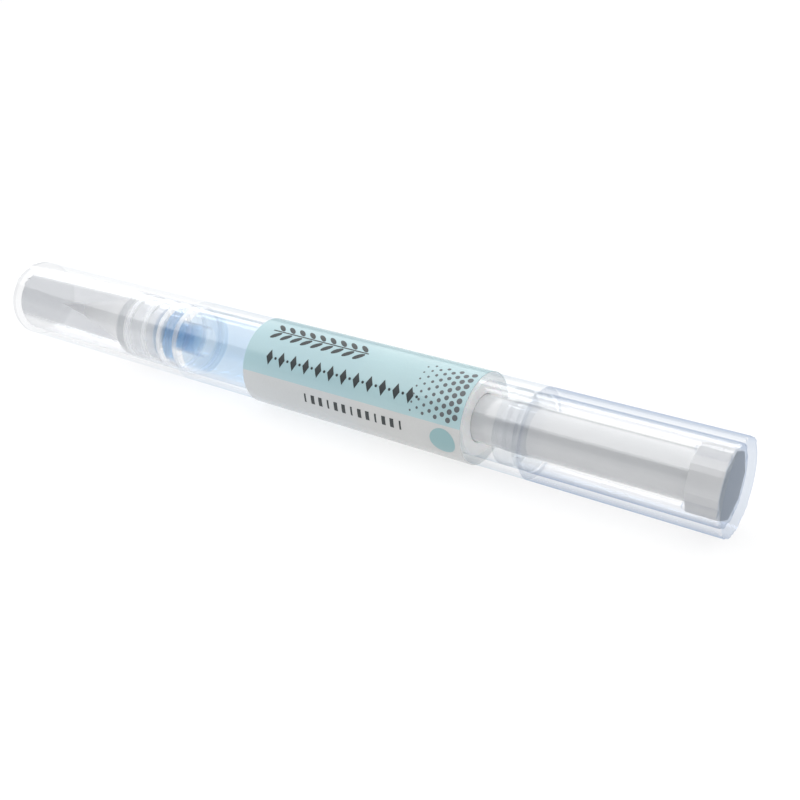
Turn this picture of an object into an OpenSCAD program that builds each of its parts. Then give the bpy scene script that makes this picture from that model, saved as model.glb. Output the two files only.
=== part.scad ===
// Twist-up nail oil pen with a brush tip, lying on its label along X.
// Places called _s are measured along the pen from the cap's closed end, and the knob is at +X.

/* [Pen] */
// Outer diameter that the cap, the barrel and the knob share
outer_d = 12.5; // [12:0.1:14]
// Length of the cap
cap_l = 38; // [36:0.5:44]
// Length of the full-diameter part of the barrel
body_l = 59.8; // [58:0.2:66]
// Length of the twist knob
knob_l = 26.1; // [25:0.1:32]
// Rounding of the closed ends
end_fillet = 0.35; // [0.1:0.05:0.6]
// Chamfer on the open rims
rim_chamfer = 0.12; // [0.05:0.01:0.2]

/* [Cap] */
// Bore of the cap
cap_bore_d = 10.7; // [10.6:0.05:11.2]
// Thickness of the cap's closed end
cap_end_t = 0.95; // [0.7:0.05:1]
// Rounding inside the closed ends
inner_fillet = 0.4; // [0.1:0.05:0.8]

/* [Barrel] */
// Bore of the barrel, which holds the oil and the mechanism
bore_d = 10.4; // [10:0.05:10.6]
// Length of the neck that the cap slides over
neck_l = 11.8; // [11:0.1:13]
// Diameter of the neck
neck_d = 9.9; // [9.2:0.05:10]
// Bore of the neck
neck_bore_d = 4.9; // [4.6:0.02:6]
// Thickness of the wall between the neck's bore and the oil space
seat_wall = 0.8; // [0.6:0.05:1.5]
// Number of friction ribs on the neck
rib_count = 4; // [2:1:5]
// Width of each rib at its crest
rib_w = 0.8; // [0.5:0.05:1.1]

/* [Brush] */
// How far the brush tip stands out of the ferrule
brush_l = 7.35; // [6:0.05:7.5]
// Length of the conical ferrule
ferrule_l = 11.9; // [11.5:0.1:13]
// Diameter of the ferrule's mouth
mouth_d = 2.84; // [2.8:0.02:3.2]
// Diameter of the ferrule at its base
ferrule_base_d = 8.4; // [7.5:0.1:9]
// Wall of the ferrule
ferrule_wall = 0.6; // [0.4:0.05:0.8]
// Number of bristles
bristle_count = 320; // [300:1:330]
// Thickness of one bristle at its root
bristle_d = 0.08; // [0.06:0.005:0.085]
// Radius that the bristles fill at their root
tuft_r = 1.1; // [1.08:0.01:1.12]
// Thickness of the fused disc that holds the bristles
backing_t = 1.2; // [0.8:0.1:2]
// Diameter of the brush seat's flange
flange_d = 10.4; // [9.2:0.05:10.5]
// Thickness of the brush seat's flange
flange_t = 1.9; // [1.2:0.1:2.5]
// Length of the brush seat's stem in the neck
stem_l = 4.8; // [4:0.1:8.5]
// Outer diameter of the feed tube
feed_d = 0.5; // [0.4:0.02:0.54]
// Bore of the feed tube
feed_bore_d = 0.28; // [0.2:0.02:0.32]
// Thickness of the seal ring's cord
seal_cord_d = 0.6; // [0.4:0.05:0.8]

/* [Label] */
// Bare length of barrel between the cap and the label
label_gap = 14.6; // [10:0.1:18]
// Length of the label
label_l = 37; // [36:0.5:40]
// Thickness of the label
label_t = 0.17; // [0.1:0.01:0.3]
// Width of the slit where the label's ends meet
label_slit = 0.8; // [0.4:0.1:2]

/* [Piston and spindle] */
// Length of the piston
piston_l = 6.5; // [6:0.1:7]
// Stroke of the piston
stroke = 30; // [20:0.5:31]
// Diameter of the spindle's thread crests
spindle_d = 4.5; // [4:0.05:4.6]
// Width across the spindle's two flats
flats_w = 3.5; // [3:0.05:3.8]
// Diameter of the spindle's snap head
head_d = 3.3; // [2.8:0.05:3.4]
// Length of the snap head
head_l = 1.2; // [1:0.05:1.4]

/* [Click mechanism] */
// Thickness of the thread nut
nut_l = 3.5; // [3:0.1:4]
// Length of the click ring
click_l = 4; // [3.5:0.1:4]
// Thickness of the lock ring
lock_l = 1.5; // [1.2:0.1:1.6]
// Bare length of barrel behind the lock ring, where the bush goes in
tail_space = 8.4; // [6:0.1:10]
// Number of ratchet teeth
tooth_count = 12; // [8:1:16]
// Height of a ratchet tooth
tooth_h = 0.35; // [0.2:0.05:0.4]
// Number of spring pawls
pawl_count = 3; // [2:1:4]
// Thickness of a pawl's spring arm
pawl_t = 0.26; // [0.2:0.02:0.3]

/* [Drive sleeve] */
// Outer diameter of the drive sleeve
sleeve_d = 6.6; // [6.4:0.05:6.8]
// Bore of the drive sleeve behind its key
sleeve_bore_d = 5; // [4.9:0.05:5.4]
// Length of the keyed part of the sleeve
key_l = 4; // [3:0.1:5]
// Overall length of the clear bush at the end of the barrel
bush_l = 4.1; // [3.5:0.1:5]
// Width of the bush's front flange
bush_flange_w = 1.5; // [1:0.1:1.7]
// Width of the bush's rear flange
bush_rear_w = 1.2; // [1:0.1:1.5]
// Diameter of the bush's hub
bush_hub_d = 7.8; // [7.6:0.1:8.4]

/* [Knob] */
// Bore of the knob
knob_bore_d = 10.5; // [10.2:0.05:10.8]
// Thickness of the knob's closed end
knob_end_t = 0.8; // [0.6:0.05:1.5]
// Diameter over the corners of the octagonal tail plug
plug_d = 9.2; // [8.8:0.05:9.4]
// Length of the tail plug
plug_l = 4.3; // [3.8:0.1:5]
// How deep the sleeve sits in the tail plug
plug_socket_l = 2.4; // [1.8:0.1:2.5]
// Width of the ribs that grip the tail plug
grip_rib_w = 0.7; // [0.5:0.05:1]

/* [Clearances] */
// Gap between the cap, the barrel and the knob where their rims meet
rim_gap = 0.1; // [0.05:0.01:0.2]
// Radial gap of pieces that are pressed together
press_gap = 0.03; // [0.02:0.005:0.05]
// Radial gap of pieces that run in each other
run_gap = 0.08; // [0.05:0.01:0.1]
// Radial gap between the neck's ribs and the cap
rib_gap = 0.1; // [0.05:0.01:0.15]
// Gap along the pen between pieces that turn past each other
end_play = 0.2; // [0.1:0.02:0.3]

/* [Hidden] */

// Facets of round surfaces, and steps of the small rounded corners
round_fn = 96;
corner_steps = 4;
// Overrun of every cut
cut = 0.5;
// Gap behind the full piston, and how far the bush sits inside the barrel's rear rim
nut_gap = 1.5;
bush_inset = 0.1;

outer_r = outer_d / 2;
bore_r = bore_d / 2;
rest_r = outer_r + label_t;
total_l = cap_l + rim_gap + body_l + rim_gap + knob_l;

// Stations along the pen
shoulder_s = cap_l + rim_gap;
neck_s = shoulder_s - neck_l;
seat_s = shoulder_s + seat_wall;
body_end_s = shoulder_s + body_l;
knob_s = body_end_s + rim_gap;
flange_s = neck_s - flange_t;
mouth_s = flange_s - ferrule_l;
label_s = shoulder_s + label_gap;
lock_s = body_end_s - tail_space - lock_l;
click_s = lock_s - click_l;
nut_s = click_s - nut_l;
piston_s = nut_s - nut_gap - piston_l;
oil_l = piston_s - seat_s;
sleeve_s = click_s + end_play;
knob_floor_s = total_l - knob_end_t;
plug_s = knob_floor_s - plug_l;
sleeve_end_s = plug_s + plug_socket_l;
bush_s = body_end_s - bush_inset - bush_l;

// Brush
backing_depth_share = 1.4;
backing_s = mouth_s + backing_depth_share * backing_t;
feed_r = feed_d / 2;
bristle_first = 28;
spiral_step = tuft_r / sqrt(bristle_first + bristle_count);
golden_angle = 137.508;
belly_share = 0.35;
belly_width_share = 0.86;
tip_width_share = 0.06;
outer_length_share = 0.5;
strand_sides = 3;
mouth_wall = 0.22;
feed_start_s = backing_s - backing_t / 2;
nipple_l = 3;
nipple_r = 1.5;

// Label: the slit's place round the pen, on the far side below
slit_angle = 60;

// Piston and spindle
head_s = piston_s + piston_l / 2;
head_neck_share = 0.8;
head_neck_r = head_neck_share * head_d / 2;
waist_share = 0.88;
lip_slope_share = 1.4;
spindle_end_s = sleeve_s + key_l + stroke;

// Tail plug
plug_sides = 8;

// Click mechanism
sleeve_r = sleeve_d / 2;
wheel_wall = 0.45;
wheel_root_r = sleeve_r + wheel_wall;
wheel_crest_r = wheel_root_r + tooth_h;
click_wall = 0.45;
click_r = bore_r - press_gap;
ramp_shares = [0, 0.25, 0.5, 0.75, 0.98];
pawl_span = 62;
pawl_free_gap = 0.14;

// Outline of a quarter-round corner, from angle a to angle b about the point c
function corner(c, r, a, b) = [
    for (i = [0 : corner_steps])
        c + r * [cos(a + (b - a) * i / corner_steps), sin(a + (b - a) * i / corner_steps)]
];

// Draws along the pen's axis, with the origin under the middle of the lying pen
module on_axis(s = 0) {
    translate([s - total_l / 2, 0, rest_r])
        rotate([0, 90, 0])
            children();
}

// Turns an outline of [radius, place along the pen] points about the pen's axis
module turned(outline) {
    on_axis()
        rotate_extrude($fn = round_fn)
            polygon(outline);
}

// A plain ring from s along the pen
module ring(s, l, r, bore) {
    turned([[bore, s], [r, s], [r, s + l], [bore, s + l]]);
}

// The spindle's round section with two flats, drawn larger by a gap
module keyed_section(gap) {
    intersection() {
        circle(r = spindle_d / 2 + gap, $fn = round_fn);
        square([spindle_d + 4 * gap, flats_w + 2 * gap], center = true);
    }
}

module cap() {
    color([0.92, 0.95, 0.97, 0.3])
        turned(concat(
            [[0, 0]],
            corner([outer_r - end_fillet, end_fillet], end_fillet, -90, 0),
            [
                [outer_r, cap_l - rim_chamfer],
                [outer_r - rim_chamfer, cap_l],
                [cap_bore_d / 2 + rim_chamfer, cap_l],
                [cap_bore_d / 2, cap_l - rim_chamfer]
            ],
            corner([cap_bore_d / 2 - inner_fillet, cap_end_t + inner_fillet], inner_fillet, 0, -90),
            [[0, cap_end_t]]
        ));
}

// One bristle of three sides: it leaves the backing, narrows at the belly and ends in a point
module bristle(root, angle, width) {
    n = strand_sides;
    reach = 1 - outer_length_share * pow(root / tuft_r, 2);
    narrowing = (belly_width_share - tip_width_share) / (1 - belly_share);
    tip_width = belly_width_share - narrowing * (reach - belly_share);
    root_s = backing_s + backing_t / 4;
    belly_s = mouth_s - belly_share * brush_l;
    end_s = mouth_s - reach * brush_l;
    at = root * [cos(angle), sin(angle)];
    side = [for (k = [0 : strand_sides - 1]) angle + 360 * k / strand_sides];
    polyhedron(
        points = concat(
            [for (a = side) [at[0] + width * cos(a), at[1] + width * sin(a), root_s]],
            [
                for (a = side)
                    [
                        belly_width_share * (at[0] + width * cos(a)),
                        belly_width_share * (at[1] + width * sin(a)),
                        belly_s
                    ]
            ],
            [[tip_width * at[0], tip_width * at[1], end_s]]
        ),
        faces = concat(
            [[for (k = [strand_sides - 1 : -1 : 0]) k]],
            [for (k = [0 : strand_sides - 1]) [k, (k + 1) % n, (k + 1) % n + n]],
            [for (k = [0 : strand_sides - 1]) [k, (k + 1) % n + n, k + n]],
            [for (k = [0 : strand_sides - 1]) [k + n, (k + 1) % n + n, 2 * n]]
        )
    );
}

module brush_tuft() {
    color([0.93, 0.93, 0.9, 0.8])
        on_axis()
            union() {
                translate([0, 0, backing_s])
                    difference() {
                        cylinder(h = backing_t, r = mouth_d / 2 - mouth_wall - press_gap, $fn = round_fn);
                        translate([0, 0, -cut])
                            cylinder(h = backing_t + 2 * cut, r = feed_r + press_gap, $fn = round_fn);
                    }
                for (i = [1 : bristle_count])
                    bristle(spiral_step * sqrt(bristle_first + i - 1), golden_angle * i, bristle_d / 2);
            }
}

module brush_ferrule() {
    throat_r = mouth_d / 2 - mouth_wall;
    throat_s = backing_s + backing_t;
    slope = (ferrule_base_d - mouth_d) / 2 / ferrule_l;
    color([0.9, 0.91, 0.92, 0.7])
        turned([
            [throat_r, mouth_s],
            [mouth_d / 2, mouth_s],
            [ferrule_base_d / 2, flange_s],
            [ferrule_base_d / 2 - ferrule_wall, flange_s],
            [mouth_d / 2 + slope * (throat_s + backing_t - mouth_s) - ferrule_wall, throat_s + backing_t],
            [throat_r, throat_s]
        ]);
}

module feed_tube() {
    color([0.95, 0.95, 0.95, 0.7])
        ring(feed_start_s, neck_s + stem_l - feed_start_s, feed_r, feed_bore_d / 2);
}

module brush_seat() {
    stem_r = neck_bore_d / 2 - 2 * press_gap;
    groove_w = seal_cord_d + 2 * press_gap;
    groove_r = neck_bore_d / 2 - seal_cord_d - press_gap;
    groove_s = neck_s + stem_l / 2;
    stem_end_s = neck_s + stem_l;
    flange_r = flange_d / 2;
    color([0.86, 0.88, 0.9, 0.85])
        turned(concat(
            [
                [feed_r + press_gap, flange_s - nipple_l],
                [nipple_r - rim_chamfer, flange_s - nipple_l],
                [nipple_r, flange_s - nipple_l + rim_chamfer],
                [nipple_r, flange_s]
            ],
            corner([flange_r - end_fillet, flange_s + end_fillet], end_fillet, -90, 0),
            [
                [flange_r, neck_s],
                [stem_r, neck_s],
                [stem_r, groove_s],
                [groove_r, groove_s],
                [groove_r, groove_s + groove_w],
                [stem_r, groove_s + groove_w],
                [stem_r, stem_end_s - end_fillet],
                [stem_r - end_fillet, stem_end_s],
                [feed_r + press_gap, stem_end_s]
            ]
        ));
}

module neck_seal() {
    color([0.3, 0.32, 0.35])
        on_axis(neck_s + stem_l / 2 + seal_cord_d / 2 + press_gap)
            rotate_extrude($fn = round_fn)
                translate([neck_bore_d / 2 - seal_cord_d / 2 - press_gap / 2, 0])
                    circle(d = seal_cord_d, $fn = round_fn / 4);
}

module barrel() {
    rib_r = cap_bore_d / 2 - rib_gap;
    rib_slope = rib_r - neck_d / 2;
    rib_pitch = (neck_l - rib_w - 2 * rib_slope) / (rib_count - 1);
    ribs = [
        for (i = [0 : rib_count - 1])
            let (s = neck_s + rib_slope + i * rib_pitch)
                each [
                    [neck_d / 2, s - rib_slope],
                    [rib_r, s],
                    [rib_r, s + rib_w],
                    [neck_d / 2, s + rib_w + rib_slope]
                ]
    ];
    color([0.85, 0.91, 0.96, 0.35])
        turned(concat(
            [[neck_bore_d / 2, neck_s]],
            ribs,
            [
                [outer_r - rim_chamfer, shoulder_s],
                [outer_r, shoulder_s + rim_chamfer],
                [outer_r, body_end_s - rim_chamfer],
                [outer_r - rim_chamfer, body_end_s],
                [bore_r + rim_chamfer, body_end_s],
                [bore_r, body_end_s - rim_chamfer],
                [bore_r, seat_s],
                [neck_bore_d / 2, seat_s]
            ]
        ));
}

module label() {
    color([0.72, 0.84, 0.86])
        difference() {
            ring(label_s, label_l, rest_r, outer_r);
            on_axis(label_s - cut)
                rotate([0, 0, slit_angle])
                    translate([outer_r - cut, -label_slit / 2, 0])
                        cube([label_t + 2 * cut, label_slit, label_l + 2 * cut]);
        }
}

module oil_fill() {
    oil_r = bore_r - press_gap;
    color([0.72, 0.84, 0.95, 0.6])
        turned([
            [0, neck_s + stem_l + press_gap],
            [neck_bore_d / 2 - press_gap, neck_s + stem_l + press_gap],
            [neck_bore_d / 2 - press_gap, seat_s + press_gap],
            [oil_r, seat_s + press_gap],
            [oil_r, piston_s - press_gap],
            [0, piston_s - press_gap]
        ]);
}

module piston() {
    lip_r = bore_r - run_gap;
    waist_r = waist_share * bore_r - run_gap;
    lip_w = piston_l / 5;
    waist_inset = lip_slope_share * lip_w;
    rear_s = piston_s + piston_l;
    socket_r = head_d / 2 + run_gap;
    mouth_r = head_neck_r + run_gap;
    color([0.95, 0.95, 0.95])
        turned([
            [0, piston_s + lip_w / 2],
            [waist_r - lip_w, piston_s + lip_w / 2],
            [lip_r - lip_w / 4, piston_s],
            [lip_r, piston_s + lip_w / 4],
            [lip_r, piston_s + lip_w],
            [waist_r, piston_s + waist_inset],
            [waist_r, rear_s - waist_inset],
            [lip_r, rear_s - lip_w],
            [lip_r, rear_s - lip_w / 4],
            [lip_r - lip_w / 4, rear_s],
            [mouth_r, rear_s],
            [mouth_r, head_s + head_l + end_play],
            [socket_r, head_s + head_l + end_play],
            [socket_r, head_s - end_play / 2],
            [0, head_s - end_play / 2]
        ]);
}

module spindle() {
    body_s = piston_s + piston_l + end_play;
    color([0.9, 0.9, 0.9])
        union() {
            on_axis(head_s)
                cylinder(h = head_l, d = head_d, $fn = round_fn);
            on_axis(head_s + head_l)
                cylinder(h = body_s - head_s - head_l, r = head_neck_r, $fn = round_fn);
            on_axis(body_s)
                linear_extrude(spindle_end_s - body_s)
                    keyed_section(0);
        }
}

module thread_nut() {
    nut_bore_r = spindle_d / 2 + run_gap;
    color([0.93, 0.93, 0.93])
        turned([
            [nut_bore_r + rim_chamfer, nut_s],
            [click_r - rim_chamfer, nut_s],
            [click_r, nut_s + rim_chamfer],
            [click_r, click_s],
            [nut_bore_r, click_s],
            [nut_bore_r, nut_s + rim_chamfer]
        ]);
}

// A ring with spring pawls that bend inwards and end just clear of the ratchet's crests
module click_ring() {
    inner_r = click_r - click_wall;
    tip_r = wheel_crest_r + run_gap;
    arm_r = tip_r + pawl_t + pawl_free_gap;
    color([0.88, 0.9, 0.92])
        on_axis(click_s)
            linear_extrude(click_l)
                difference() {
                    circle(r = click_r, $fn = round_fn);
                    difference() {
                        circle(r = inner_r, $fn = round_fn);
                        for (i = [0 : pawl_count - 1])
                            rotate(360 * i / pawl_count)
                                pawl(inner_r, arm_r, tip_r);
                    }
                }
}

// One pawl: a curved arm rooted on the ring, with a nose that reaches the ratchet
module pawl(ring_r, arm_r, tip_r) {
    steps = 2 * corner_steps;
    outer = [
        for (i = [0 : steps])
            let (a = pawl_span * i / steps, r = arm_r + (ring_r - arm_r) * pow(1 - i / steps, 3))
                r * [cos(a), sin(a)]
    ];
    inner = [
        for (i = [steps : -1 : 0])
            let (a = pawl_span * i / steps)
                (arm_r - pawl_t) * [cos(a), sin(a)]
    ];
    nose = [tip_r * [cos(pawl_span), sin(pawl_span)]];
    root = [
        (ring_r + press_gap) * [cos(-pawl_span / 6), sin(-pawl_span / 6)],
        (ring_r + press_gap) * [1, 0]
    ];
    polygon(concat(root, outer, nose, inner));
}

// The ratchet's teeth have one steep side each, so that it clicks past the pawls one way only
module ratchet_wheel() {
    tooth = 360 / tooth_count;
    teeth = [
        for (i = [0 : tooth_count - 1])
            for (q = ramp_shares)
                (wheel_crest_r - tooth_h * q) * [cos(tooth * (i + q)), sin(tooth * (i + q))]
    ];
    color([0.93, 0.93, 0.93])
        difference() {
            on_axis(click_s + end_play)
                linear_extrude(click_l - 2 * end_play)
                    polygon(teeth);
            on_axis(click_s)
                cylinder(h = click_l, r = sleeve_r + press_gap, $fn = round_fn);
        }
}

module lock_ring() {
    color([0.93, 0.93, 0.93])
        ring(lock_s, lock_l, click_r, sleeve_r + run_gap);
}

// A clear spool: two flanges that fit the barrel, and a hub that the sleeve turns in
module sleeve_bush() {
    flange_r = bore_r - press_gap;
    bush_bore_r = sleeve_r + run_gap;
    bush_end_s = bush_s + bush_l;
    color([0.9, 0.94, 0.97, 0.4])
        turned([
            [bush_bore_r, bush_s],
            [flange_r, bush_s],
            [flange_r, bush_s + bush_flange_w],
            [bush_hub_d / 2, bush_s + bush_flange_w],
            [bush_hub_d / 2, bush_end_s - bush_rear_w],
            [flange_r, bush_end_s - bush_rear_w],
            [flange_r, bush_end_s],
            [bush_bore_r + rim_chamfer, bush_end_s],
            [bush_bore_r, bush_end_s - rim_chamfer]
        ]);
}

module drive_sleeve() {
    color([0.87, 0.87, 0.88])
        difference() {
            on_axis(sleeve_s)
                cylinder(h = sleeve_end_s - sleeve_s, r = sleeve_r, $fn = round_fn);
            on_axis(sleeve_s - cut)
                linear_extrude(key_l + 2 * cut)
                    keyed_section(run_gap);
            on_axis(sleeve_s + key_l)
                cylinder(h = sleeve_end_s - sleeve_s, d = sleeve_bore_d, $fn = round_fn);
        }
}

module tail_plug() {
    color([0.86, 0.87, 0.88])
        difference() {
            on_axis(plug_s)
                cylinder(h = plug_l, d = plug_d, $fn = plug_sides);
            on_axis(plug_s - cut)
                cylinder(h = plug_socket_l + cut, r = sleeve_r + press_gap, $fn = round_fn);
        }
}

module knob() {
    knob_bore_r = knob_bore_d / 2;
    half_side = 180 / plug_sides;
    flat_r = plug_d / 2 * cos(half_side) + press_gap;
    color([0.85, 0.91, 0.97, 0.35])
        union() {
            turned(concat(
                [
                    [0, total_l],
                    [0, knob_floor_s]
                ],
                corner([knob_bore_r - inner_fillet, knob_floor_s - inner_fillet], inner_fillet, 90, 0),
                [
                    [knob_bore_r, knob_s + rim_chamfer],
                    [knob_bore_r + rim_chamfer, knob_s],
                    [outer_r - rim_chamfer, knob_s],
                    [outer_r, knob_s + rim_chamfer]
                ],
                corner([outer_r - end_fillet, total_l - end_fillet], end_fillet, 0, 90)
            ));
            for (i = [0 : 3])
                on_axis(plug_s)
                    rotate([0, 0, 90 * i + half_side])
                        translate([flat_r, -grip_rib_w / 2, 0])
                            cube([knob_bore_r + press_gap - flat_r, grip_rib_w, plug_l + press_gap]);
        }
}

cap();
brush_tuft();
brush_ferrule();
feed_tube();
brush_seat();
neck_seal();
barrel();
label();
oil_fill();
piston();
spindle();
thread_nut();
click_ring();
ratchet_wheel();
lock_ring();
sleeve_bush();
drive_sleeve();
tail_plug();
knob();
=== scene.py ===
import math
import random

import bpy
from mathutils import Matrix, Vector


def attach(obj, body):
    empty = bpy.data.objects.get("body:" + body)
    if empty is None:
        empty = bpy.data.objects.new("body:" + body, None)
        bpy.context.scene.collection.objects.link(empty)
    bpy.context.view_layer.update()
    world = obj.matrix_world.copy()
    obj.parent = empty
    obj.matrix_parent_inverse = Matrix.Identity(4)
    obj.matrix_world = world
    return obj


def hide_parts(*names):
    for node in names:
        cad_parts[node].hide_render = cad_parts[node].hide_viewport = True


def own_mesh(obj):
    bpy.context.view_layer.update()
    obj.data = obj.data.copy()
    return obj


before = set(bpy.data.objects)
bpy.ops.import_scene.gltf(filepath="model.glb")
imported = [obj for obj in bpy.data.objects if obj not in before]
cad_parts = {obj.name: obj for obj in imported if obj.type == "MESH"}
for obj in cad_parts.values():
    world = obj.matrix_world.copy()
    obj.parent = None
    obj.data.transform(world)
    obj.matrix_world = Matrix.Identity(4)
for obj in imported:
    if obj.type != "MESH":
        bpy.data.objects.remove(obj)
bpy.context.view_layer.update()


# Camera, lights and table
# A pale light table under a large overhead soft box, as clear cosmetic packs are shot. A strip light behind
# it draws the two light lines along the clear pieces, and is flagged off everything else.
# The lens and the place come from the pinhole camera that fits the pen's rims in the photograph.
def hex_colour(text):
    """sRGB hex digits as linear RGBA."""
    channels = [int(text[i:i + 2], 16) / 255 for i in (0, 2, 4)]
    linear = [c / 12.92 if c <= 0.04045 else ((c + 0.055) / 1.055) ** 2.4 for c in channels]
    return (*linear, 1.0)


def new_material(name):
    """An empty node material with its output."""
    material = bpy.data.materials.new(name)
    material.use_nodes = True
    material.node_tree.nodes.clear()
    add_node(material, "ShaderNodeOutputMaterial")
    return material


def add_node(material, kind, settings=None, links=None):
    """Adds a node, sets its properties or sockets by name, and feeds sockets from (node, output) pairs."""
    node = material.node_tree.nodes.new(kind)
    for key, value in (settings or {}).items():
        if isinstance(key, str) and hasattr(node, key):
            setattr(node, key, value)
        else:
            node.inputs[key].default_value = value
    for key, (source, output) in (links or {}).items():
        material.node_tree.links.new(source.outputs[output], node.inputs[key])
    return node


def finish_material(material, shader, volume=None):
    """Joins the shader, and a volume if there is one, to the output."""
    tree = material.node_tree
    output = next(n for n in tree.nodes if n.type == "OUTPUT_MATERIAL")
    tree.links.new(shader.outputs[0], output.inputs["Surface"])
    if volume:
        tree.links.new(volume.outputs[0], output.inputs["Volume"])


bpy.context.scene.view_settings.view_transform = "Standard"
bpy.context.scene.view_settings.look = "None"
bpy.context.scene.cycles.max_bounces = 32
bpy.context.scene.cycles.transmission_bounces = 32
bpy.context.scene.cycles.glossy_bounces = 16
bpy.context.scene.cycles.transparent_max_bounces = 96

camera_place = (0.0932, -0.1153, 0.0672)
sight_line = Vector((-0.5182, 0.7546, -0.4026))
bpy.ops.object.camera_add(location=camera_place)
camera = bpy.context.object
camera.rotation_euler = sight_line.to_track_quat("-Z", "Y").to_euler()
camera.data.lens = 49.26
camera.data.sensor_width = 36
camera.data.clip_start = 0.001
camera.data.clip_end = 20
bpy.context.scene.camera = camera

table_white = new_material("opal_acrylic_light_table")
table_noise = add_node(table_white, "ShaderNodeTexNoise", {"Scale": 40, "Detail": 3})
table_tone = add_node(
    table_white, "ShaderNodeMapRange", {"To Min": 0.25, "To Max": 0.27}, {"Value": (table_noise, 0)}
)
table_grey = add_node(
    table_white,
    "ShaderNodeCombineColor",
    {},
    {"Red": (table_tone, 0), "Green": (table_tone, 0), "Blue": (table_tone, 0)},
)
table_shader = add_node(
    table_white,
    "ShaderNodeBsdfPrincipled",
    {"Roughness": 0.8, "Specular IOR Level": 0.2, "Emission Color": (1, 1, 1, 1), "Emission Strength": 0.73},
    {"Base Color": (table_grey, 0)},
)
finish_material(table_white, table_shader)
table_width = 8
table_drop = 0.00005
bpy.ops.mesh.primitive_plane_add(size=table_width, location=(0, 0, -table_drop))
table = bpy.context.object
table.name = "light_table"
table.data.materials.append(table_white)

studio = bpy.data.worlds.new("studio_air")
bpy.context.scene.world = studio
studio.use_nodes = True
studio_air = studio.node_tree.nodes["Background"]
studio_air.inputs["Color"].default_value = hex_colour("E8E9EA")

# The studio's walls are brightest low down, where the table's light falls on them, and white to the camera
wall_place = add_node(studio, "ShaderNodeTexCoord")
wall_height = add_node(studio, "ShaderNodeSeparateXYZ", {}, {"Vector": (wall_place, "Generated")})
wall_light = add_node(
    studio,
    "ShaderNodeMapRange",
    {"From Max": 0.35, "To Min": 0.9, "To Max": 0.5},
    {"Value": (wall_height, "Z")},
)
camera_sees = add_node(studio, "ShaderNodeLightPath")
wall_strength = add_node(
    studio,
    "ShaderNodeMix",
    {"data_type": "FLOAT", 3: 1.03},
    {0: (camera_sees, "Is Camera Ray"), 2: (wall_light, 0)},
)
studio.node_tree.links.new(wall_strength.outputs[0], studio_air.inputs["Strength"])


def soft_box(name, place, aim, size, power):
    """A rectangular soft box that faces a point."""
    bpy.ops.object.light_add(type="AREA", location=place)
    box = bpy.context.object
    box.name = name
    box.data.shape = "RECTANGLE"
    box.data.size, box.data.size_y = size
    box.data.energy = power
    box.rotation_euler = (Vector(aim) - Vector(place)).to_track_quat("-Z", "Y").to_euler()
    return box


soft_box("overhead_soft_box", (-0.25, 0.3, 0.45), (-0.25, 0.3, 0), (1.1, 1.7), 8.2)
strip_light = soft_box("strip_light", (-0.32, 0.224, 0.391), (-0.32, 0, 0), (0.9, 0.095), 1.5)
clear_pieces = bpy.data.collections.new("clear_pieces")
bpy.context.scene.collection.children.link(clear_pieces)
strip_light.light_linking.receiver_collection = clear_pieces


# Barrel
# The clear barrel is one injection moulding of styrene-acrylonitrile, polished in the tool.
# Its neck has four friction ribs for the cap, and its bore is the oil space and the mechanism's housing.
mm = 0.001
pen_length = 124.1
pen_middle = 62.05
axis_height = 6.42
merge_distance = 0.000001
body_radius = 6.25
bore_radius = 5.2
barrel_front = 38.1
barrel_rear = 97.9
seat_wall = 38.9
neck_tip = 26.3
neck_radius = 4.95
neck_bore_radius = 2.45
rib_radius = 5.25
rib_width = 0.8
rib_slope = 0.3


def on_axis(s):
    """A point on the pen's axis, s mm from the cap's closed end."""
    return ((s - pen_middle) * mm, 0.0, axis_height * mm)


def off_axis(point):
    """How far a point is from the pen's axis, in metres."""
    return math.hypot(point[1], point[2] - axis_height * mm)


def pick(piece, *others):
    """Selects these pieces and no others, with the first one active."""
    bpy.ops.object.select_all(action="DESELECT")
    for part in (piece, *others):
        part.select_set(True)
    bpy.context.view_layer.objects.active = piece


def open_mesh(kind="VERT", action="SELECT"):
    """Opens the active piece in edit mode, with all its points or edges selected, or none."""
    bpy.ops.object.mode_set(mode="EDIT")
    bpy.ops.mesh.select_mode(type=kind)
    bpy.ops.mesh.select_all(action=action)


def turn_piece(name, outline, sides=160):
    """Extrudes a ring along (s, radius) points in mm, as on a lathe. A radius of 0 closes an end."""
    pole = 0.0003
    closed = outline[0][1] > 0
    points = [(s, max(r, pole)) for s, r in outline]
    bpy.ops.object.select_all(action="DESELECT")
    bpy.ops.mesh.primitive_circle_add(
        vertices=sides,
        radius=points[0][1] * mm,
        fill_type="NOTHING",
        location=on_axis(points[0][0]),
        rotation=(0, math.pi / 2, 0),
    )
    piece = bpy.context.object
    piece.name = name
    bpy.ops.object.transform_apply(location=True, rotation=True, scale=True)
    open_mesh()
    for (s0, r0), (s1, r1) in zip(points, points[1:] + points[:1] * closed):
        bpy.ops.mesh.extrude_edges_move(TRANSFORM_OT_translate={"value": ((s1 - s0) * mm, 0, 0)})
        bpy.ops.transform.resize(value=(1, r1 / r0, r1 / r0), center_override=on_axis(s1))
    bpy.ops.mesh.select_all(action="SELECT")
    bpy.ops.mesh.remove_doubles(threshold=merge_distance)
    bpy.ops.mesh.normals_make_consistent(inside=False)
    bpy.ops.object.mode_set(mode="OBJECT")
    return piece


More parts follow.
